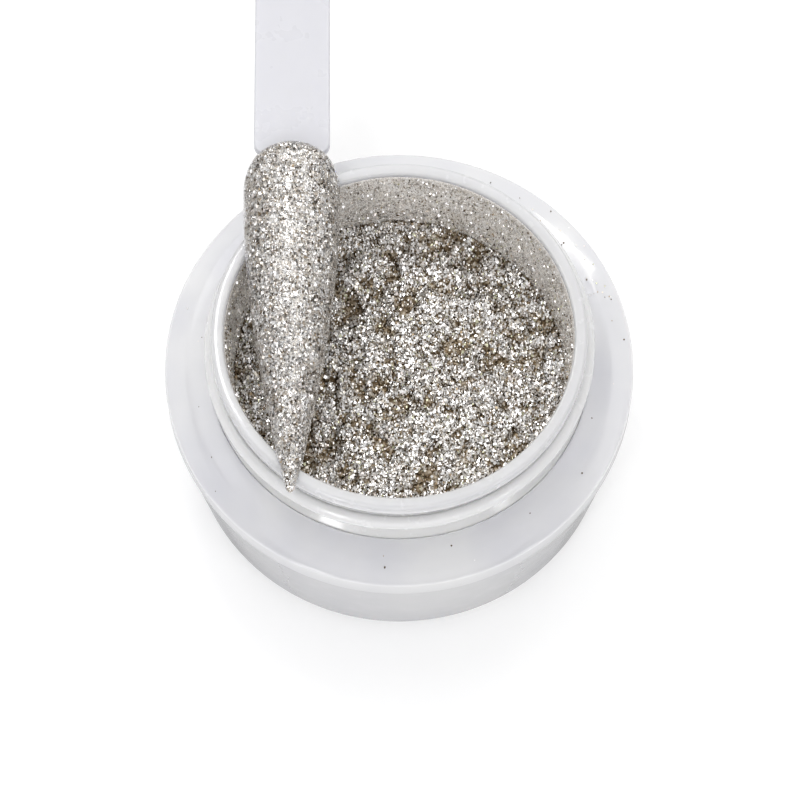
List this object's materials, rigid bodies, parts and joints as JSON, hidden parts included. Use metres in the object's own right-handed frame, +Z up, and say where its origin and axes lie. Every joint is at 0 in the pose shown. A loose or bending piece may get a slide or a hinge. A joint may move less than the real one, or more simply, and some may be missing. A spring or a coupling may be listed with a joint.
{
  "type": "open cosmetic jar with nail display stick",
  "caption": "Open double-wall cosmetic jar with a clear shell and threaded neck, filled with champagne glitter, and a nail display stick laid across its mouth",
  "frame": {"origin": "centre of the jar's flat underside", "axes": "+Z up through the jar's mouth, +Y along the display stick from its point to its handle, +X to the right across the stick"},
  "size_m": [0.055, 0.0855, 0.0342],
  "materials": {
    "clear_shell": "clear polished moulding, faint lavender tint",
    "frosted_cup": "milky translucent moulding, soft gloss",
    "glitter": "champagne silver metallic flakes",
    "glitter_dust": "thin clinging film of fine flakes",
    "stick_plastic": "translucent whitish strip, satin",
    "natural_tip": "clear moulded nail tip",
    "adhesive": "soft putty",
    "clear_gel": "high-gloss cured gel"
  },
  "bodies": {
    "jar": {"outer_shell": "clear_shell", "base_plate": "clear_shell", "inner_cup": "frosted_cup", "glitter_fill": "glitter", "wall_film": "glitter_dust"},
    "display_stick": {"stick_handle": "stick_plastic", "nail_tip": "natural_tip", "adhesive_pad": "adhesive", "glitter_coat": "glitter", "top_coat": "clear_gel"}
  },
  "joints": [
    {"name": "stick_lift", "type": "slide", "parent": "jar", "child": "display_stick", "axis": [0, 0, 1], "range_m": [0, 0.03]}
  ]
}
